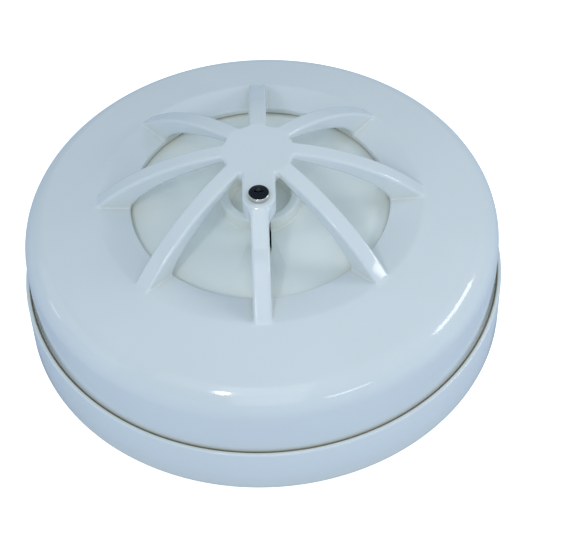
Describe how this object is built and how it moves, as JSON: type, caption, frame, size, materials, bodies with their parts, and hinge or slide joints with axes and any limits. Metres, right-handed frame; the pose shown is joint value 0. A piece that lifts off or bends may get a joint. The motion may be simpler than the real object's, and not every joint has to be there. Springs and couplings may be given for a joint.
{
  "type": "heat detector",
  "caption": "Round white point heat detector: a ribbed cage over its thermistor on a plug-in head, twisted onto a bayonet ceiling base with screw terminals.",
  "frame": {"origin": "middle of the base's flat mounting face", "axes": "+Z along the detector's axis from the mounting face towards the cage; -Y along the cage rib that carries the retaining screw"},
  "size_m": [0.1, 0.1, 0.0443],
  "materials": {
    "housing_white": "moulded cool white, glossy",
    "inner_white": "moulded white, satin",
    "board_green": "glass-epoxy board with solder resist",
    "nickel_plate": "nickel-plated brass",
    "spring_bronze": "phosphor-bronze spring sheet",
    "zinc_plate": "zinc-plated steel",
    "dark_screw": "black-nickel plated steel",
    "black_epoxy": "moulded epoxy and capacitor sleeve",
    "blue_epoxy": "dipped epoxy coat",
    "sensor_epoxy": "dipped epoxy bead",
    "sleeve_white": "twin-bore insulating sleeve",
    "resistor_tan": "lacquered film resistor"
  },
  "bodies": {
    "base": {"base_dish": "housing_white", "terminal_plate_1": "nickel_plate", "terminal_plate_2": "nickel_plate", "terminal_plate_3": "nickel_plate", "terminal_plate_4": "nickel_plate"},
    "head": {"head_chassis": "inner_white", "contact_blade_1": "spring_bronze", "contact_blade_2": "spring_bronze", "contact_blade_3": "spring_bronze", "contact_blade_4": "spring_bronze", "blade_rivet_1": "nickel_plate", "blade_rivet_2": "nickel_plate", "blade_rivet_3": "nickel_plate", "blade_rivet_4": "nickel_plate", "circuit_board": "board_green", "assembly_screw_1": "zinc_plate", "assembly_screw_2": "zinc_plate", "assembly_screw_3": "zinc_plate", "sensor_plate": "inner_white", "thermistor_sleeve": "sleeve_white", "thermistor_bead": "sensor_epoxy", "thermistor_lead_1": "nickel_plate", "thermistor_lead_2": "nickel_plate", "microcontroller": "black_epoxy", "bridge_rectifier": "black_epoxy", "smoothing_capacitor": "black_epoxy", "surge_varistor": "blue_epoxy", "output_transistor": "black_epoxy", "reference_thermistor": "sensor_epoxy", "resistor_1": "resistor_tan", "resistor_2": "resistor_tan", "resistor_3": "resistor_tan", "resistor_4": "resistor_tan"},
    "cover": {"outer_cover": "housing_white"},
    "cover_screw": {"retaining_screw": "dark_screw"},
    "terminal_clamp_1": {"terminal_screw_1": "nickel_plate", "clamp_washer_1": "zinc_plate"},
    "terminal_clamp_2": {"terminal_screw_2": "nickel_plate", "clamp_washer_2": "zinc_plate"},
    "terminal_clamp_3": {"terminal_screw_3": "nickel_plate", "clamp_washer_3": "zinc_plate"},
    "terminal_clamp_4": {"terminal_screw_4": "nickel_plate", "clamp_washer_4": "zinc_plate"}
  },
  "joints": [
    {"name": "head_twist", "type": "hinge", "parent": "base", "child": "head", "pos_m": [0, 0, 0.011], "axis": [0, 0, 1], "range_deg": [0, 18]},
    {"name": "cover_lift", "type": "slide", "parent": "head", "child": "cover", "axis": [0, 0, 1], "range_m": [0, 0.04]},
    {"name": "screw_travel", "type": "slide", "parent": "cover", "child": "cover_screw", "axis": [0, 0, 1], "range_m": [0, 0.008]},
    {"name": "terminal_travel_1", "type": "slide", "parent": "base", "child": "terminal_clamp_1", "axis": [0, 0, 1], "range_m": [0, 0.0025]},
    {"name": "terminal_travel_2", "type": "slide", "parent": "base", "child": "terminal_clamp_2", "axis": [0, 0, 1], "range_m": [0, 0.0025]},
    {"name": "terminal_travel_3", "type": "slide", "parent": "base", "child": "terminal_clamp_3", "axis": [0, 0, 1], "range_m": [0, 0.0025]},
    {"name": "terminal_travel_4", "type": "slide", "parent": "base", "child": "terminal_clamp_4", "axis": [0, 0, 1], "range_m": [0, 0.0025]}
  ]
}
